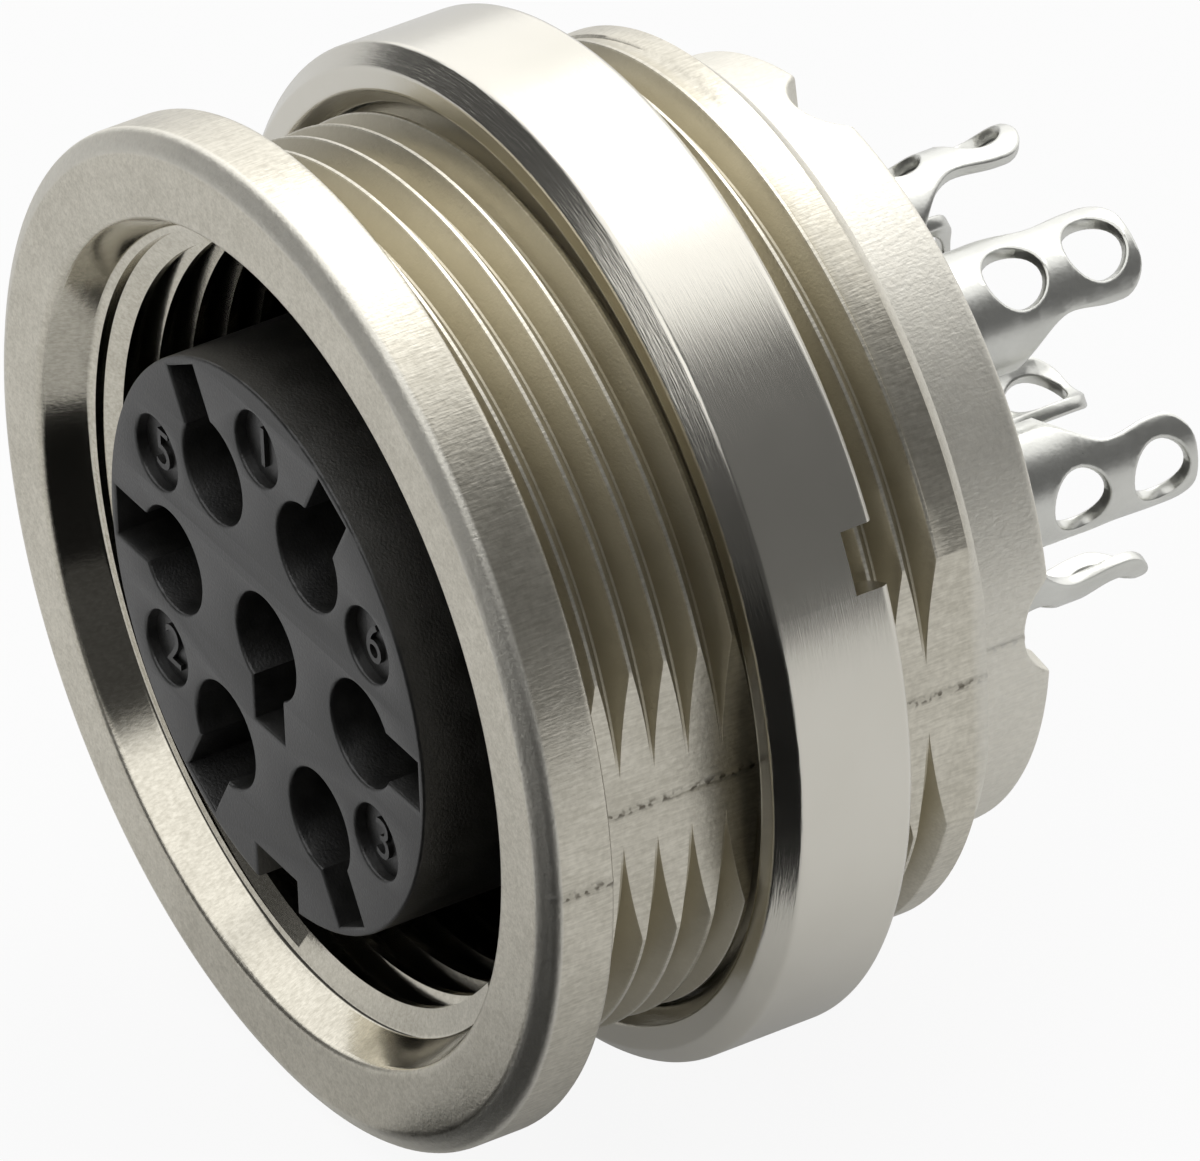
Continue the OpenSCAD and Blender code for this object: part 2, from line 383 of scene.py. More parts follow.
def make_piece(name, surface, node, slot, material, body="connector", sharp=SHARP_ANGLE, **values):
    """A mesh piece that stands for a CAD node, with named values on its points for its material."""
    points, faces = surface
    mesh = bpy.data.meshes.new(name)
    mesh.from_pydata((points * MM).tolist(), [], faces)
    for label, value in values.items():
        mesh.attributes.new(label, "FLOAT", "POINT").data.foreach_set("value", value.astype(np.float32))
    mesh.shade_smooth()
    mesh.set_sharp_from_angle(angle=radians(sharp))
    mesh.materials.append(material)
    piece = bpy.data.objects.new(name, mesh)
    bpy.context.scene.collection.objects.link(piece)
    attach(piece, body)
    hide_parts(node)
    return piece


# Shader arithmetic

class Value:
    """A shader socket that joins in Python arithmetic: each operator adds a Math node."""

    def __init__(self, tree, socket):
        self.tree, self.socket = tree, socket

    def math(self, operation, first, second):
        return add_node(self.tree, "ShaderNodeMath", {"operation": operation}, {0: first, 1: second})

    def __add__(self, other):
        return self.math("ADD", self, other)

    def __radd__(self, other):
        return self.math("ADD", other, self)

    def __sub__(self, other):
        return self.math("SUBTRACT", self, other)

    def __rsub__(self, other):
        return self.math("SUBTRACT", other, self)

    def __mul__(self, other):
        return self.math("MULTIPLY", self, other)

    def __rmul__(self, other):
        return self.math("MULTIPLY", other, self)


def add_node(tree, kind, settings=None, inputs=None, out=0):
    """Any node by its type, its settings and the values or links of its sockets; gives one output."""
    node = tree.nodes.new(kind)
    for key, value in (settings or {}).items():
        setattr(node, key, value)
    for key, value in (inputs or {}).items():
        if isinstance(value, Value):
            tree.links.new(value.socket, node.inputs[key])
        else:
            node.inputs[key].default_value = value
    return Value(tree, node.outputs[out])


class Finish:
    """A material under construction: its tree, object coordinates and main shader."""

    def __init__(self, name, **constants):
        self.material = bpy.data.materials.new(name)
        self.material.use_nodes = True
        self.tree = self.material.node_tree
        self.shader = self.tree.nodes["Principled BSDF"]
        self.place = self.node("ShaderNodeTexCoord", out="Object")
        for socket, value in constants.items():
            self.shader.inputs[socket.replace("_", " ")].default_value = value

    def node(self, kind, settings=None, inputs=None, out=0):
        return add_node(self.tree, kind, settings, inputs, out)

    def noise(self, size_mm, detail=2.0, stretch=(1, 1, 1)):
        """Noise whose features are about size_mm wide, longer along axes whose stretch is under 1."""
        where = self.node("ShaderNodeMapping", None, {"Vector": self.place, "Scale": stretch})
        return self.node("ShaderNodeTexNoise", None,
                         {"Vector": where, "Scale": 1 / (size_mm * MM), "Detail": detail}, "Fac")

    def painted(self, name):
        """A value that the piece carries on its points."""
        return self.node("ShaderNodeAttribute", {"attribute_name": name}, None, "Fac")

    def window(self, value, low, high):
        """0 at low and 1 at high, held outside."""
        return self.node("ShaderNodeMapRange", {"clamp": True},
                         {"Value": value, "From Min": low, "From Max": high}, "Result")

    def mix(self, share, first, second):
        """A colour between two, by a share from 0 to 1."""
        return self.node("ShaderNodeMix", {"data_type": "RGBA"}, {0: share, 6: first, 7: second}, 2)

    def bump(self, height, depth_mm):
        """A normal from a height of 0 to 1 that stands for a depth."""
        return self.node("ShaderNodeBump", None,
                         {"Height": height, "Distance": depth_mm * MM, "Strength": 1.0})

    def set(self, **links):
        """Feeds the main shader and gives the finished material."""
        for socket, value in links.items():
            self.tree.links.new(value.socket, self.shader.inputs[socket.replace("_", " ")])
        return self.material


def cast_nickel():
    """Satin nickel on a die casting: fine grain, brownish thread roots, bright crests, a dull seam, and
    painted shade deep in the socket and the rear bore.
    """
    finish = Finish("cast_nickel", Metallic=1.0)
    recess = finish.painted("recess")
    seam = finish.painted("seam")
    coarse = finish.painted("coarse")
    inside = finish.painted("inside")
    socket_shade = finish.painted("socket_shade")
    grain = finish.noise(0.09, 3.0)
    blotch = finish.noise(1.1, 3.0)
    brush = finish.noise(0.05, 2.0, (1, 0.12, 1))
    pits = finish.window(finish.noise(0.16, 1.0), 0.5, 0.62)
    speck = finish.noise(0.12, 4.0)
    uneven = finish.window(blotch * 0.25 + speck * 0.35 + brush * 0.4, 0.38, 0.62)
    plain = finish.mix(uneven, *NICKEL)
    stained = finish.mix(blotch, *STAINED_NICKEL)
    colour = finish.mix(finish.window(recess, 0.25, 0.95), plain, stained)
    colour = finish.mix(seam * (0.15 + 0.8 * pits), colour, SEAM_DIRT)
    colour = finish.mix(coarse * (0.6 + 0.08 * pits), colour, ROUGH_NICKEL)
    # Painted shade: darker deeper into the socket, and dark all over the rear bore
    colour = finish.mix(socket_shade * 0.85, colour, SOCKET_PAINTED_SHADE)
    rough = (0.24 + 0.12 * grain + 0.1 * recess + 0.05 * blotch + 0.2 * coarse) * (1 - 0.6 * inside)
    height = (grain * (0.35 + coarse * 0.45) + brush * 0.35) * (1 - 0.85 * inside)
    return finish.set(Base_Color=colour, Roughness=rough, Normal=finish.bump(height, 0.012))


def turned_nickel():
    """Bright nickel on a turned ring: fine lines round the ring and a slight uneven polish."""
    finish = Finish("turned_nickel", Metallic=1.0)
    lines = finish.noise(0.6, 2.0, (1, 25, 1))
    fine = finish.noise(0.03, 2.0, (0.08, 1, 0.08))
    polish = finish.noise(2.2, 2.0)
    colour = finish.mix(polish, *BRIGHT_NICKEL)
    rough = 0.14 + 0.08 * lines + 0.07 * polish
    return finish.set(Base_Color=colour, Roughness=rough, Normal=finish.bump(lines * 0.6 + fine * 0.4, 0.006))


def moulded_insulator():
    """Dark grey moulded plastic with a mottled, slightly dusty skin."""
    finish = Finish("moulded_insulator", Specular_IOR_Level=1.0)
    mottle = finish.noise(0.5, 4.0)
    grain = finish.noise(0.06, 2.0)
    colour = finish.mix(finish.window(mottle, 0.35, 0.65), *PLASTIC)
    rough = 0.3 + 0.14 * grain + 0.12 * mottle
    return finish.set(Base_Color=colour, Roughness=rough, Normal=finish.bump(grain + mottle * 0.6, 0.008))


def tin_plate():
    """Pale satin tin on stamped strip, with soft blotches."""
    finish = Finish("tin_plate", Metallic=1.0)
    blotch = finish.noise(0.7, 3.0)
    grain = finish.noise(0.08, 2.0)
    colour = finish.mix(blotch, *TIN)
    rough = 0.24 + 0.16 * grain
    return finish.set(Base_Color=colour, Roughness=rough, Normal=finish.bump(grain * 0.3 + blotch, 0.008))


# Pieces

def shell_columns():
    """Angles round the shell from 0 to a full turn, closer together at the flats, seams and notches."""
    even = np.linspace(0, 360, SHELL_COLUMNS)
    flat = np.linspace(-FLAT_SPAN, FLAT_SPAN, FLAT_COLUMNS)
    seam = np.linspace(-SEAM_SPAN, SEAM_SPAN, SEAM_COLUMNS)
    notch = np.linspace(-NOTCH_SPAN, NOTCH_SPAN, NOTCH_COLUMNS) + 90
    close = np.concatenate([half + part for half in (0, 180) for part in (flat, seam, notch)]) % 360
    return np.radians(np.unique(np.round(np.concatenate([even, close]), 3)))[None, :]


def notch_drop(angle):
    """How far the skirt's edge drops: a round-bottomed notch at each quarter turn."""
    radius = ((NOTCH_W / 2) ** 2 + NOTCH_DEPTH ** 2) / (2 * NOTCH_DEPTH)
    off = SKIRT_R * np.sin(angle_from(angle * NOTCH_COUNT, 0) / NOTCH_COUNT)
    return np.clip(np.sqrt(np.clip(radius ** 2 - off ** 2, 0, None)) - radius + NOTCH_DEPTH, 0, None)


def flat_radius(angle):
    """Distance of the two flats from the axis along each angle: their depth over the cosine."""
    return FLAT_X / np.maximum(np.abs(np.cos(angle)), 1e-3)


def seam_height(angle, width):
    """The mould's parting line at each end of X: 1 on the line, falling off as a bell."""
    return np.exp(-(BARREL_R * angle_from(2 * angle, 0) / 2 / width) ** 2)


def thread_sheet(angle, low_y, high_y, offset, steps):
    """Places of rows that follow a helix, held between two places.

    A row stands at y = pitch * (turns - angle / full turn - offset), with turns of whole numbers and steps."""
    steps = np.stack([np.broadcast_to(step, angle[0].shape) for step in steps])
    first, last = floor(low_y / THREAD_PITCH + offset) - 1, ceil(high_y / THREAD_PITCH + offset) + 2
    turns = (np.arange(first, last)[:, None, None] + steps[None]).reshape(-1, angle.shape[1])
    return np.clip(THREAD_PITCH * (turns - angle / (2 * pi) - offset), low_y, high_y), last - first


def panel_thread(angle):
    """The barrel's thread: its flanks run from crest to root, and the flats cut its crests down.

    Where a flat leaves a share of the depth, the crest is wider by the flank that is cut away."""
    flat, root_r = flat_radius(angle), BARREL_R - THREAD_DEPTH
    share = np.clip((flat - root_r) / THREAD_DEPTH, 0, 1)[0]
    flank = (0.5 - THREAD_ROOT - THREAD_CREST) * share
    crest = 0.5 - THREAD_ROOT - flank
    edge = crest + THREAD_EDGE * flank
    steps = [0, crest, edge, 0.5 - THREAD_ROOT, 0.5 + THREAD_ROOT, 1 - edge, 1 - crest]
    place, turns = thread_sheet(angle, 0, BARREL_END_Y - BARREL_CHAMFER, THREAD_OFFSET, steps)
    heights = np.array([1, 1, 1 - THREAD_EDGE, 0, 0, 1 - THREAD_EDGE, 1])[:, None]
    stains = np.array([0, 0, THREAD_EDGE_STAIN, 1, 1, THREAD_EDGE_STAIN, 0])[:, None]
    height = np.tile(heights * share, (turns, 1))
    stain = np.tile(stains * np.clip(THREAD_STAIN_RISE * share, 0, 1), (turns, 1))
    height = height * smooth_step(place, THREAD_START_Y, THREAD_START_Y + THREAD_LEAD)
    plain = smooth_step(place, THREAD_FADE_Y, THREAD_END_Y)
    radius = np.minimum(root_r + THREAD_DEPTH * height, flat)
    radius = radius + (np.minimum(BARREL_R, flat) - radius) * plain
    return radius, place, stain * (1 - plain)


def coupling_thread(angle):
    """The socket's thread, from the ledge out to the mouth: flat crests, flat roots and straight flanks."""
    root = 0.5 - COUPLING_ROOT
    steps = [0, COUPLING_CREST, root, 1 - root, 1 - COUPLING_CREST]
    place, turns = thread_sheet(angle, MOUTH_STEP_Y, LEDGE_FRONT_Y, COUPLING_OFFSET, steps)
    height = np.tile(np.array([1.0, 1, 0, 0, 1])[:, None], (turns, 1))
    height = height * smooth_step(place, MOUTH_STEP_Y, MOUTH_STEP_Y + COUPLING_LEAD)
    height = height * (1 - smooth_step(place, COUPLING_FADE_Y, COUPLING_END_Y))
    return (COUPLING_R + COUPLING_DEPTH * (1 - height))[::-1], place[::-1]


def welded(sheets):
    """Sheets of rows by columns as one closed surface: points that meet become one, and empty faces go."""
    points, quads, first = [], [], 0
    for radius, place, angle in sheets:
        radius, place, angle = np.broadcast_arrays(radius, place, angle)
        rows, cols = radius.shape
        points.append(ring_points(radius, place, angle).reshape(-1, 3))
        quads.append(first + grid_faces(rows, cols, False)[np.arange((rows - 1) * cols) % cols < cols - 1])
        first += rows * cols
    points, quads = np.concatenate(points), outward(np.concatenate(points), np.concatenate(quads))
    _, kept, index = np.unique(np.round(points, WELD_DIGITS), axis=0, return_index=True, return_inverse=True)
    faces = [list(dict.fromkeys(face)) for face in index.reshape(-1)[quads].tolist()]
    return (points[kept], [face for face in faces if len(face) > 2]), kept


def shell_surface():
    """The shell's section carried round the axis in five sheets, and the values that its material reads.

    The sheets are the socket, the mouth with the flange, the barrel, the skirt and the rear bore."""
    angle = shell_columns()
    flat, root_r = flat_radius(angle), BARREL_R - THREAD_DEPTH
    socket_r, socket_y = coupling_thread(angle)
    barrel_r, barrel_y, barrel_stain = panel_thread(angle)

    front = filleted([(COUPLING_R + COUPLING_DEPTH, MOUTH_STEP_Y, 0),
                      (MOUTH_BACK_R, MOUTH_END_Y, MOUTH_STEP_R),
                      (MOUTH_R, FRONT_Y, EDGE_R), (FLANGE_R - FLANGE_CHAMFER_W, FRONT_Y, EDGE_R),
                      (FLANGE_R, FRONT_Y + FLANGE_CHAMFER_T, EDGE_R), (FLANGE_R, 0, EDGE_R), (root_r, 0, 0)])
    front_r, front_y = front[:, :1] + 0 * angle, front[:, 1:] + 0 * angle
    front_r[-1] = np.minimum(root_r, flat[0])
    mouth = (front_r < MOUTH_R + NEAR) & (front_y > FRONT_Y + EDGE_SPAN)
    chamfer = front_r > FLANGE_R - FLANGE_CHAMFER_W - NEAR
    chamfer = chamfer & (front_y < FRONT_Y + FLANGE_CHAMFER_T + EDGE_SPAN)

    rear = filleted([(BARREL_R, BARREL_END_Y - BARREL_CHAMFER, 0),
                     (BARREL_R - BARREL_CHAMFER, BARREL_END_Y, BARREL_EDGE_R),
                     (SKIRT_R, BARREL_END_Y, SKIRT_ROOT_R), (SKIRT_R, SKIRT_END_Y, SKIRT_EDGE_R),
                     (REAR_BORE_R, SKIRT_END_Y, BORE_EDGE_R), (REAR_BORE_R, PLATE_REAR_Y, 0)])
    rear_r, rear_y = rear[:, :1] + 0 * angle, rear[:, 1:] + 0 * angle
    in_bore = (rear_r < REAR_BORE_R + BESIDE) & (rear_y > PLATE_REAR_Y + TOUCH)
    rear_r = np.where(rear_r > SKIRT_R + BESIDE, np.minimum(rear_r, flat), rear_r)
    end_y = SKIRT_END_Y - notch_drop(angle)
    rise = np.clip((rear_y - PLATE_REAR_Y) / (SKIRT_END_Y - PLATE_REAR_Y), 0, 1)
    rear_y = np.where(rear_y > PLATE_REAR_Y, PLATE_REAR_Y + rise * (end_y - PLATE_REAR_Y), rear_y)
    off = REAR_BORE_R * np.abs(angle_from(angle * NOTCH_COUNT, 0)) / NOTCH_COUNT
    pressed = STAKE_REACH * (1 - smooth_step(off, STAKE_W / 2 - STAKE_EDGE, STAKE_W / 2 + STAKE_EDGE))
    rear_r = np.where(in_bore, rear_r - pressed, rear_r)

    bore = np.array([(REAR_BORE_R, PLATE_REAR_Y), (REAR_BORE_R, LEDGE_REAR_Y), (LEDGE_R, LEDGE_REAR_Y),
                     (LEDGE_R, LEDGE_FRONT_Y), (COUPLING_R + COUPLING_DEPTH, LEDGE_FRONT_Y)])
    bore_r, bore_y = bore[:, :1] + 0 * angle, bore[:, 1:] + 0 * angle

    on_rim = (front_r > FLANGE_R - SEAM_RIM_T) | (front_r <= root_r) & (front_y > -TOUCH)
    on_skirt = rear_r > REAR_BORE_R + SEAM_SKIRT_T
    seamed = [0 * socket_r, on_rim, 1 + 0 * barrel_r, on_skirt, 0 * bore_r]
    radii = [radius + SEAM_RISE * seam_height(angle, SEAM_W) * on
             for radius, on in zip((socket_r, front_r, barrel_r, rear_r, bore_r), seamed)]
    places = (socket_y, front_y, barrel_y, rear_y, bore_y)
    surface, kept = welded([(radius, place, angle) for radius, place in zip(radii, places)])
    # Painted shade: the socket darkens from the mouth inwards, and the rear bore is dark all over
    dark = smooth_step(socket_y, SOCKET_SHADE_START_Y, SOCKET_SHADE_END_Y)
    values = {"recess": (0 * socket_r, 0 * front_r, barrel_stain, 0 * rear_r, 0 * bore_r),
              "seam": [on * seam_height(angle, SEAM_STAIN_W) for on in seamed],
              "coarse": (0 * socket_r, chamfer, 0 * barrel_r, 1 + 0 * rear_r, 0 * bore_r),
              "inside": (1 + 0 * socket_r, mouth, 0 * barrel_r, 0 * rear_r, 1 + 0 * bore_r),
              "socket_shade": (dark, 0 * front_r, 0 * barrel_r, 0 * rear_r, 1 + 0 * bore_r)}
    flat_values = {key: np.concatenate([np.ravel(part) for part in parts]) for key, parts in values.items()}
    return surface, {key: value[kept] for key, value in flat_values.items()}


def nut_surface():
    """The nut's section carried round the axis; in a slot the rear rows are held at the slot's floor.

    A slot has parallel walls: its edges stand at the angle whose sine is half the width over the radius."""
    section = filleted([(NUT_BORE_R, NUT_SPLIT_Y, 0),
                        (NUT_BORE_R, NUT_FRONT_Y + NUT_COUNTERSINK, NUT_FACE_EDGE_R),
                        (NUT_BORE_R + NUT_COUNTERSINK, NUT_FRONT_Y, NUT_EDGE_R),
                        (NUT_R - NUT_FRONT_CHAMFER, NUT_FRONT_Y, NUT_FACE_EDGE_R),
                        (NUT_R, NUT_FRONT_Y + NUT_FRONT_CHAMFER, NUT_EDGE_R),
                        (NUT_R, NUT_REAR_Y - NUT_REAR_CHAMFER, NUT_EDGE_R),
                        (NUT_R - NUT_REAR_CHAMFER, NUT_REAR_Y, NUT_EDGE_R),
                        (NUT_BORE_R + NUT_COUNTERSINK, NUT_REAR_Y, NUT_FACE_EDGE_R),
                        (NUT_BORE_R, NUT_REAR_Y - NUT_COUNTERSINK, NUT_FACE_EDGE_R),
                        (NUT_BORE_R, NUT_SPLIT_Y + NUT_SPLIT, 0)])
    radius, place = section[:, :1], section[:, 1:]
    edge = np.arcsin(NUT_SLOT_W / 2 / radius)
    gap = radians(NUT_WALL_GAP)
    next_angles = (*NUT_SLOT_ANGLES[1:], NUT_SLOT_ANGLES[0] + 360)
    angles, dropped = [], []
    for middle, after in zip(NUT_SLOT_ANGLES, next_angles):
        within = [radians(middle) + edge * share for share in NUT_SLOT_SHARES]
        start = radians(middle) + edge + gap
        stop = radians(after) - edge - gap
        between = [start + (stop - start) * share for share in np.linspace(0, 1, NUT_COLUMNS)]
        angles += within + between
        dropped += [1] * len(within) + [0] * len(between)
    angle = np.concatenate([np.broadcast_to(a, radius.shape) for a in angles], 1)
    floor_y = np.where(np.array(dropped)[None, :] == 1, NUT_REAR_Y - NUT_SLOT_DEPTH, NUT_REAR_Y)
    return revolved(radius, np.minimum(place, floor_y), angle)


def arc_points(radius, start, end, count):
    """Points along an arc, angles in radians."""
    angle = np.linspace(start, end, count)
    return np.stack([radius * np.cos(angle), radius * np.sin(angle)], -1)


def turned_loop(loop, angle):
    """A flat outline turned by an angle in degrees."""
    c, s = cos(radians(angle)), sin(radians(angle))
    return loop @ np.array([[c, s], [-s, c]])


def keyhole_loop(reach):
    """A round hole with a slot along +X: an arc from one slot wall to the other, then the slot's end."""
    half = asin(SLOT_W / 2 / HOLE_R)
    arc = arc_points(HOLE_R, half, 2 * pi - half, KEYHOLE_POINTS)
    return np.concatenate([arc, [[reach, -SLOT_W / 2], [reach, SLOT_W / 2]]])


def insert_surface():
    """The boss: a disc outline with a key groove, cut by keyholes and wells, carried along the axis.

    Each well is closed by a floor with a raised number on it."""
    half = asin(KEY_W / 2 / INSERT_R)
    rim = arc_points(INSERT_R, half, 2 * pi - half, INSERT_POINTS)
    depth_r = INSERT_R - KEY_DEPTH
    rim = np.concatenate([rim, [[depth_r, -KEY_W / 2], [depth_r, KEY_W / 2]]])
    loops = [turned_loop(rim, KEY_ANGLE)]
    loops += [turned_loop(keyhole_loop(SLOT_REACH) + [PITCH_R, 0], angle) for angle in RING_ANGLES]
    loops.append(turned_loop(keyhole_loop(MIDDLE_SLOT_REACH), KEY_ANGLE))
    well = arc_points(WELL_R, 0, 2 * pi, WELL_POINTS)[:-1]
    wells = {angle: turned_loop(well + [WELL_PITCH_R, 0], angle) for angle in WELL_NUMBERS}
    length = LEDGE_REAR_Y - FRONT_Y
    solids = [swapped(plate_from(loops + list(wells.values()), length, INSERT_BEVEL), FRONT_Y + length / 2)]
    floor_y = FRONT_Y + WELL_DEPTH
    for angle, number in WELL_NUMBERS.items():
        well_floor = plate_from([wells[angle]], WELL_FLOOR_T, TOUCH)
        solids.append(swapped(well_floor, floor_y + WELL_FLOOR_T / 2))
        centre = (WELL_PITCH_R * cos(radians(angle)), WELL_PITCH_R * sin(radians(angle)))
        solids.append(number_surface(number, centre, floor_y))
    behind = np.array([(INSERT_R, LEDGE_REAR_Y + TOUCH), (INSERT_FLANGE_R, LEDGE_REAR_Y + TOUCH),
                       (INSERT_FLANGE_R, PLATE_FRONT_Y), (INSERT_R, PLATE_FRONT_Y)])
    angle = np.linspace(0, 2 * pi, INSERT_COLUMNS, endpoint=False)[None, :]
    solids.append(revolved(behind[:, :1], behind[:, 1:], angle))
    return joined(*solids)


def number_surface(number, centre, floor_y):
    """A raised number on a well's floor: the text's (x, y, z) goes to (x, floor - z, y) about the centre."""
    text = bpy.data.curves.new("number", "FONT")
    text.body = number
    text.size = NUMBER_HEIGHT
    text.align_x = "CENTER"
    text.align_y = "CENTER"
    text.extrude = NUMBER_RISE / 2
    text.resolution_u = NUMBER_STEPS
    points, faces = mesh_arrays(bpy.data.objects.new("number", text))
    points[:, :2] -= (points[:, :2].max(0) + points[:, :2].min(0)) / 2
    moved = np.stack([centre[0] + points[:, 0], floor_y - points[:, 2], centre[1] + points[:, 1]], -1)
    return moved, faces


def tag_loops():
    """Outline of a solder tag across and along the axis, and its two wire holes.

    The half width runs in cubics from base to waist to tip."""
    waist_y = (TIP_HOLE_Y + BASE_HOLE_Y) / 2
    y = np.linspace(PLATE_FRONT_Y, TAG_TIP_Y - TAG_CORNER_R, TAG_POINTS)
    base_to_waist = smooth_step(y, BASE_HOLE_Y - TAG_TAPER_LEAD, waist_y)
    waist_to_tip = smooth_step(y, waist_y, TIP_HOLE_Y)
    width = TAG_BASE_W + (TAG_WAIST_W - TAG_BASE_W) * base_to_waist + (TAG_TIP_W - TAG_WAIST_W) * waist_to_tip
    half = width / 2
    corner_middle = [TAG_TIP_W / 2 - TAG_CORNER_R, TAG_TIP_Y - TAG_CORNER_R]
    corner = arc_points(TAG_CORNER_R, 0, pi / 2, TAG_CORNER_POINTS) + corner_middle
    right = np.concatenate([np.stack([half, y], -1), corner[1:]])
    left = right[::-1] * [-1, 1]
    hole = arc_points(WIRE_HOLE_R, 0, 2 * pi, WIRE_HOLE_POINTS)[:-1]
    return [np.concatenate([right, left]), hole + [0, BASE_HOLE_Y], hole + [0, TIP_HOLE_Y]]


def arched(strip):
    """A flat strip stood on its contact's outer side and arched behind the rear plate, edges inwards.

    The arch's angle is the inverse sine of the distance across over the radius, so the width stays."""
    points, faces = strip
    across, along, high = points.T
    bend = smooth_step(along, PLATE_REAR_Y, PLATE_REAR_Y + TAG_ARCH_RUN)
    angle = np.arcsin(np.clip(across / TAG_ARCH_R, -1, 1)) * bend
    out = TAG_OFFSET + TAG_ARCH_R * (np.cos(angle) - 1) + high * np.cos(angle)
    return np.stack([out, along, across + high * np.sin(angle)], -1), [face[::-1] for face in faces]


def contact_surface(middle_r, angle):
    """A contact: a socket turned about its own axis, a neck and a tag on its outer side, set at its place."""
    section = filleted([(PIN_R, PLATE_FRONT_Y - SOCKET_SPLIT_FRONT, 0),
                        (PIN_R, SOCKET_FRONT_Y + 2 * SOCKET_LIP, SOCKET_BORE_EDGE_R),
                        (PIN_R + SOCKET_LIP, SOCKET_FRONT_Y, SOCKET_EDGE_R),
                        (SOCKET_R, SOCKET_FRONT_Y, SOCKET_EDGE_R), (SOCKET_R, PLATE_FRONT_Y, SOCKET_END_R),
                        (PIN_R, PLATE_FRONT_Y, SOCKET_END_R), (PIN_R, PLATE_FRONT_Y - SOCKET_SPLIT_REAR, 0)])
    around = np.linspace(0, 2 * pi, SOCKET_COLUMNS, endpoint=False)[None, :]
    socket = revolved(section[:, :1], section[:, 1:], around)
    neck_loop = np.array([(-NECK_W / 2, NECK_START_Y), (NECK_W / 2, NECK_START_Y),
                          (NECK_W / 2, PLATE_REAR_Y), (-NECK_W / 2, PLATE_REAR_Y)])
    arch_end_y = PLATE_REAR_Y + TAG_ARCH_RUN
    cuts = [((1, 0, 0), x) for x in np.linspace(-1, 1, TAG_LINES_ACROSS)]
    cuts += [((0, 1, 0), y) for y in np.linspace(PLATE_REAR_Y, arch_end_y, TAG_LINES_ALONG)]
    tag = arched(plate_from(tag_loops(), TAG_T, TAG_BEVEL, cuts))
    neck = arched(plate_from([neck_loop], TAG_T, TAG_BEVEL))
    points, faces = joined(socket, tag, neck)
    c, s = cos(radians(angle)), sin(radians(angle))
    out, across = points[:, 0] + middle_r, points[:, 2]
    return np.stack([out * c - across * s, points[:, 1], out * s + across * c], -1), faces


# Stage

def soft_floor():
    """White floor: nearly plain white to the camera, and shaded white with a share of glow to mirrors."""
    material = bpy.data.materials.new("soft_floor")
    material.use_nodes = True
    tree = material.node_tree
    tree.nodes.remove(tree.nodes["Principled BSDF"])
    camera = add_node(tree, "ShaderNodeLightPath", out="Is Camera Ray")
    mirror = add_node(tree, "ShaderNodeLightPath", out="Is Glossy Ray")
    through = add_node(tree, "ShaderNodeLightPath", out="Is Transmission Ray")
    grey = (FLOOR_GREY, FLOOR_GREY, FLOOR_GREY, 1)
    shaded = add_node(tree, "ShaderNodeBsdfDiffuse", None, {"Color": grey})
    white = add_node(tree, "ShaderNodeEmission", None, {"Color": (1, 1, 1, 1), "Strength": 1.0})
    share = camera * FLOOR_CAMERA_WHITE + (mirror + through) * FLOOR_MIRROR_WHITE
    both = add_node(tree, "ShaderNodeMixShader", None, {0: share, 1: shaded, 2: white})
    tree.links.new(both.socket, tree.nodes["Material Output"].inputs["Surface"])
    return material


def mirror_shade_card():
    """Matt black: a card of painted shade that only mirrors see, in place of the shaded floor in front."""
    return Finish("mirror_shade_card", Base_Color=SHADE_CARD_BLACK, Roughness=0.9, Specular_IOR_Level=0.0).material


def sheet(name, low, high, level, material):
    """A flat sheet of the stage between two corners in millimetres."""
    (x0, y0), (x1, y1) = low, high
    mesh = bpy.data.meshes.new(name)
    corners = np.array([(x0, y0, level), (x1, y0, level), (x1, y1, level), (x0, y1, level)])
    mesh.from_pydata((corners * MM).tolist(), [], [(0, 1, 2, 3)])
    mesh.materials.append(material)
    piece = bpy.data.objects.new(name, mesh)
    bpy.context.scene.collection.objects.link(piece)
    return piece


def make_floor():
    """A floor under the part's lowest point, and a dark card at its front right that only mirrors see: painted
    shade in the metal's reflections.
    """
    far, level = FLOOR_HALF_W, -FLANGE_R
    sheet("floor", (-far, -far), (far, far), level, soft_floor())
    # Painted shade: mirrors see this black card in place of the shaded floor at the front right
    card = sheet("mirror_shade_card", (CARD_LEFT, -far), (far, CARD_REAR), level + CARD_LIFT, mirror_shade_card())
    card.visible_camera = card.visible_diffuse = card.visible_shadow = False


def make_world():
    """A studio's sky: a bright side, a dim rear, a dark front and a wide soft box above the front."""
    world = bpy.data.worlds.new("studio")
    bpy.context.scene.world = world
    world.use_nodes = True
    tree = world.node_tree
    way = add_node(tree, "ShaderNodeTexCoord", out="Generated")

    def side(direction, low, high):
        facing = add_node(tree, "ShaderNodeVectorMath", {"operation": "DOT_PRODUCT"},
                          {0: way, 1: direction}, "Value")
        return add_node(tree, "ShaderNodeMapRange", {"interpolation_type": "SMOOTHSTEP"},
                        {"Value": facing, "From Min": low, "From Max": high}, "Result")

    dim = SKY_FRONT + (SKY_REAR - SKY_FRONT) * side(SKY_BACK, *SKY_BACK_EDGE)
    glow = dim + (SKY_BRIGHT - dim) * side(SKY_SIDE, *SKY_SIDE_EDGE)
    strength = glow + (SKY_BRIGHT - glow) * side(SKY_BOX, *SKY_BOX_EDGE)
    tree.links.new(strength.socket, tree.nodes["Background"].inputs["Strength"])
    tree.nodes["Background"].inputs["Color"].default_value = (1, 1, 1, 1)


def make_lamp(name, place, target, size, power):
    """A square soft box at a place in millimetres, facing a target."""
    lamp = bpy.data.lights.new(name, "AREA")
    lamp.shape = "SQUARE"
    lamp.size = size * MM
    lamp.energy = power
    holder = bpy.data.objects.new(name, lamp)
    holder.location = Vector(place) * MM
    holder.rotation_euler = (Vector(target) - Vector(place)).to_track_quat("-Z", "Y").to_euler()
    holder.visible_camera = False
    bpy.context.scene.collection.objects.link(holder)


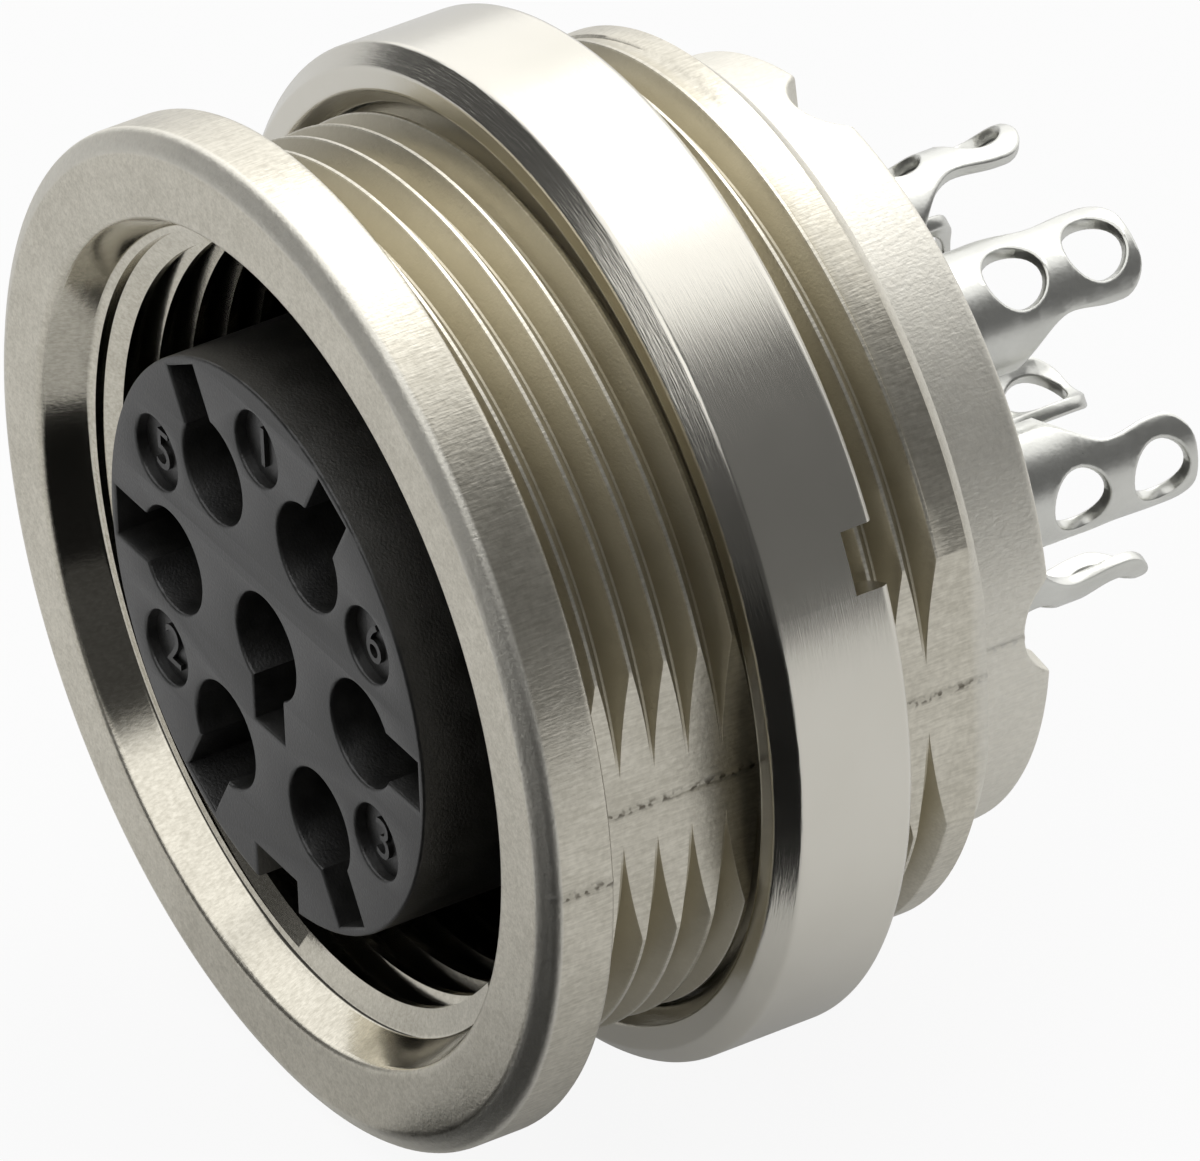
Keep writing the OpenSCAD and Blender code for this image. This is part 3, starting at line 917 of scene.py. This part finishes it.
def clocked(vector):
    """A direction turned back about the axis, because the photographed part lies turned a little."""
    c, s = cos(radians(PART_CLOCKING)), sin(radians(PART_CLOCKING))
    return Vector((vector[0] * c + vector[2] * s, vector[1], -vector[0] * s + vector[2] * c))


def make_camera():
    """The photograph's view: a long lens that looks at the part from its front right and above."""
    azimuth, elevation = radians(VIEW_AZIMUTH), radians(VIEW_ELEVATION)
    back = Vector((sin(azimuth) * cos(elevation), -cos(azimuth) * cos(elevation), sin(elevation)))
    right = Vector((cos(azimuth), sin(azimuth), 0))
    up = right.cross(-back)
    eye = clocked(Vector(VIEW_TARGET) + back * VIEW_DISTANCE) + Vector((0, FRONT_Y, 0))
    axes = Matrix([clocked(right), clocked(up), clocked(back)]).transposed()
    lens = bpy.data.cameras.new("camera")
    lens.sensor_width = SENSOR_MM
    lens.lens = VIEW_FOCAL_PX / IMAGE_WIDTH_PX * SENSOR_MM
    lens.clip_start = 0.01
    camera = bpy.data.objects.new("camera", lens)
    camera.matrix_world = Matrix.Translation(eye * MM) @ axes.to_4x4()
    bpy.context.scene.collection.objects.link(camera)
    bpy.context.scene.camera = camera


bpy.context.scene.view_settings.view_transform = "Standard"
make_camera()
make_floor()
make_world()
make_lamp("top_soft_box", LAMP_PLACE, LAMP_TARGET, LAMP_SIZE, LAMP_POWER)

nickel, bright, plastic, tin = cast_nickel(), turned_nickel(), moulded_insulator(), tin_plate()
shell, shell_values = shell_surface()
make_piece("cast_shell", shell, "shell", "cast_nickel", nickel, sharp=SHELL_SHARP_ANGLE, **shell_values)
make_piece("turned_ring_nut", nut_surface(), "ring_nut", "turned_nickel", bright, body="nut")
make_piece("moulded_insert", insert_surface(), "insert", "insulator", plastic)
for number, angle in enumerate((*RING_ANGLES, KEY_ANGLE), 1):
    middle_r = PITCH_R if number <= len(RING_ANGLES) else 0
    make_piece(f"solder_contact_{number}", contact_surface(middle_r, angle), f"contact_{number}",
               "tinned_contact", tin)
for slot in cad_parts["rear_plate"].material_slots:
    slot.material = plastic
